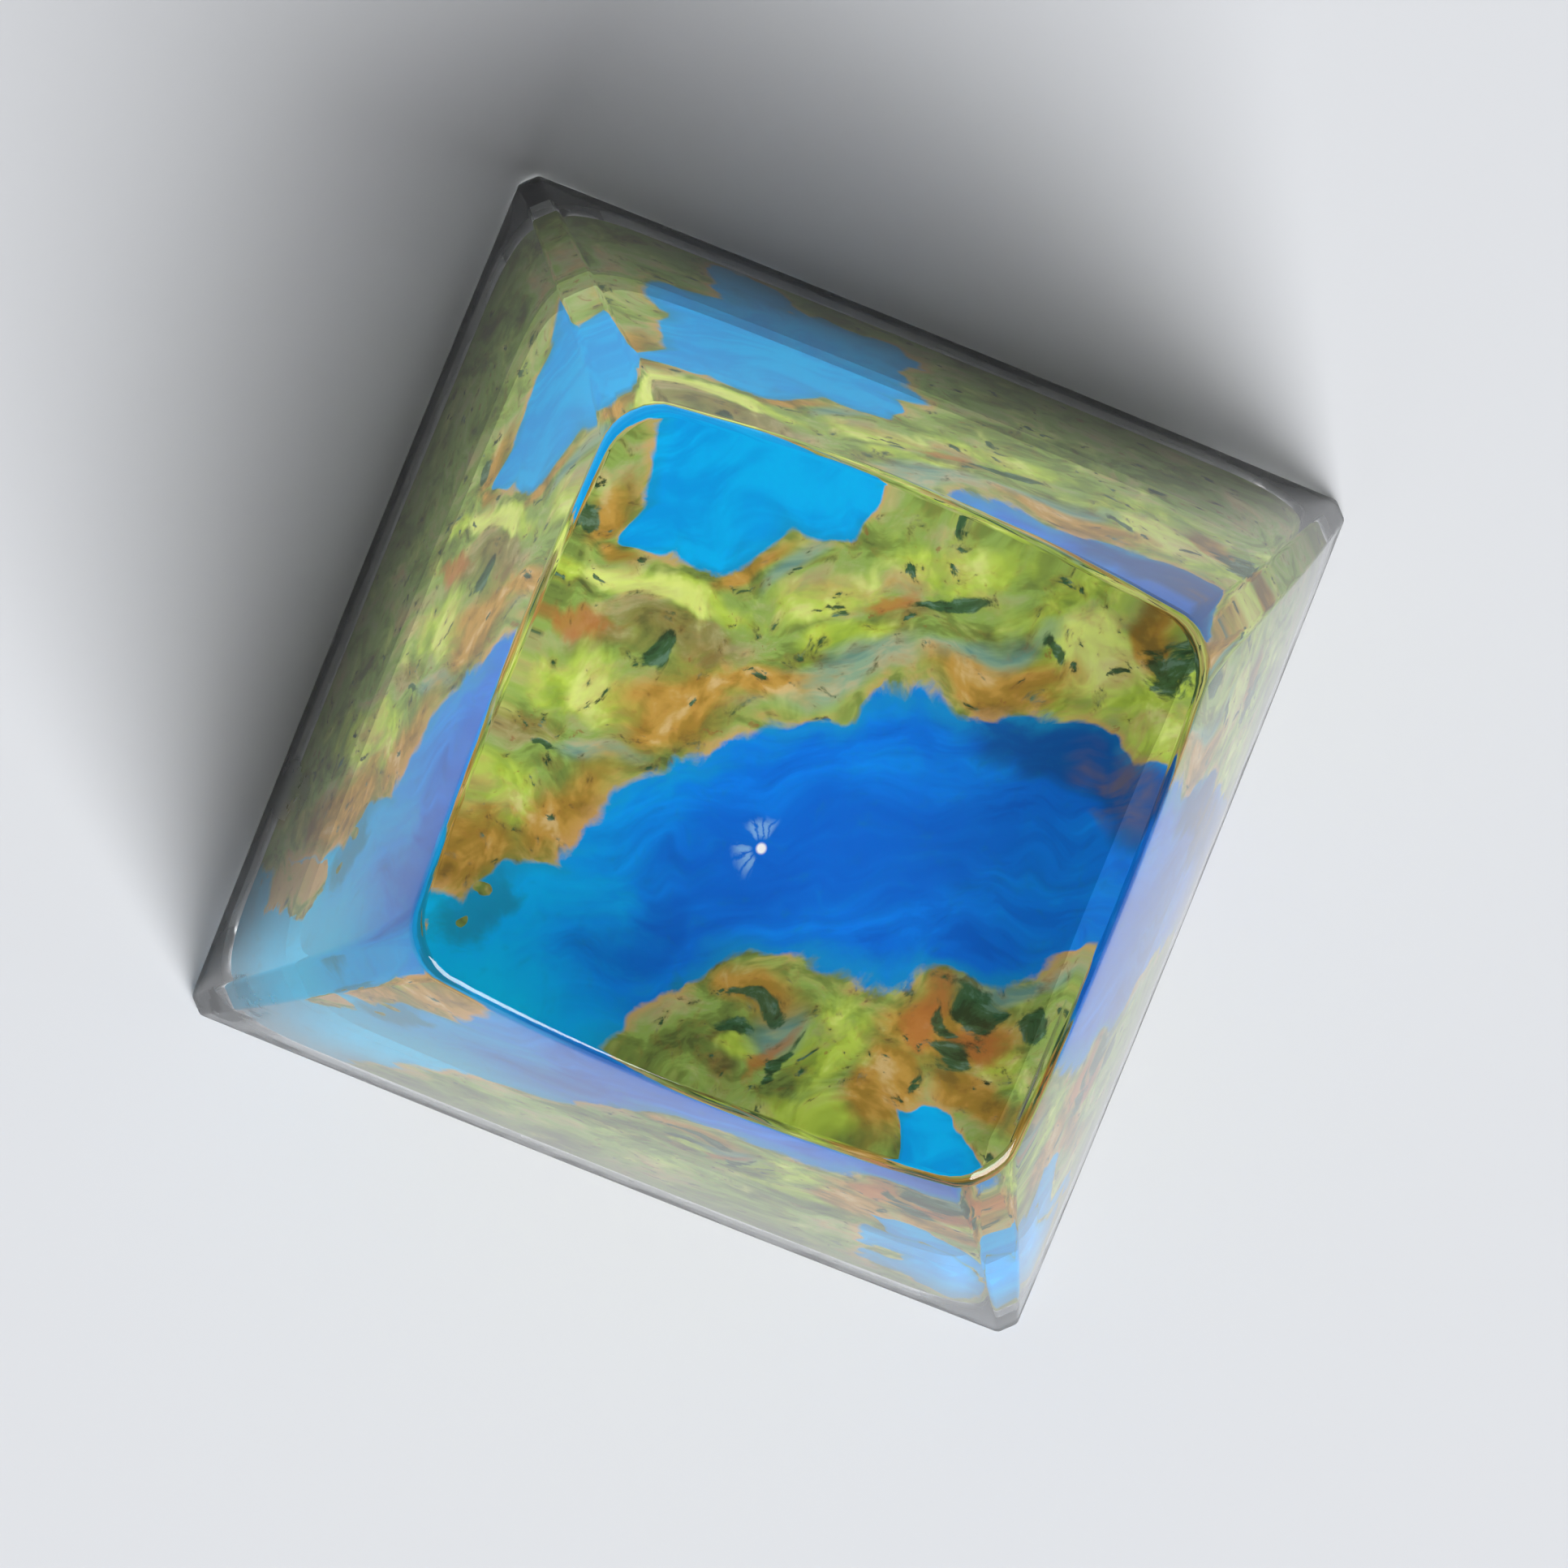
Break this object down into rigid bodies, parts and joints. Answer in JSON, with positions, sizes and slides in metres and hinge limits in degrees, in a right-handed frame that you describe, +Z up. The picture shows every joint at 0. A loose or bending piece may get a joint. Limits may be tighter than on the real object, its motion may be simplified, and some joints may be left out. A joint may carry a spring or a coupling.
{
  "type": "artisan keycap",
  "caption": "Tall tapered keycap of clear cast resin with a dished top, over a marbled resin core whose stem has a cross-shaped socket.",
  "frame": {"origin": "middle of the base, on the plane that the rim rests on", "axes": "+Z up through the dished top, +Y to the back of the key, +X to its right"},
  "size_m": [0.0184, 0.0186, 0.0129],
  "materials": {
    "clear_resin": "hand-polished clear cast resin",
    "marbled_resin": "poured resin marbled in blue, lime green and ochre"
  },
  "bodies": {
    "root": {"clear_cap": "clear_resin", "marbled_core": "marbled_resin"}
  },
  "joints": []
}
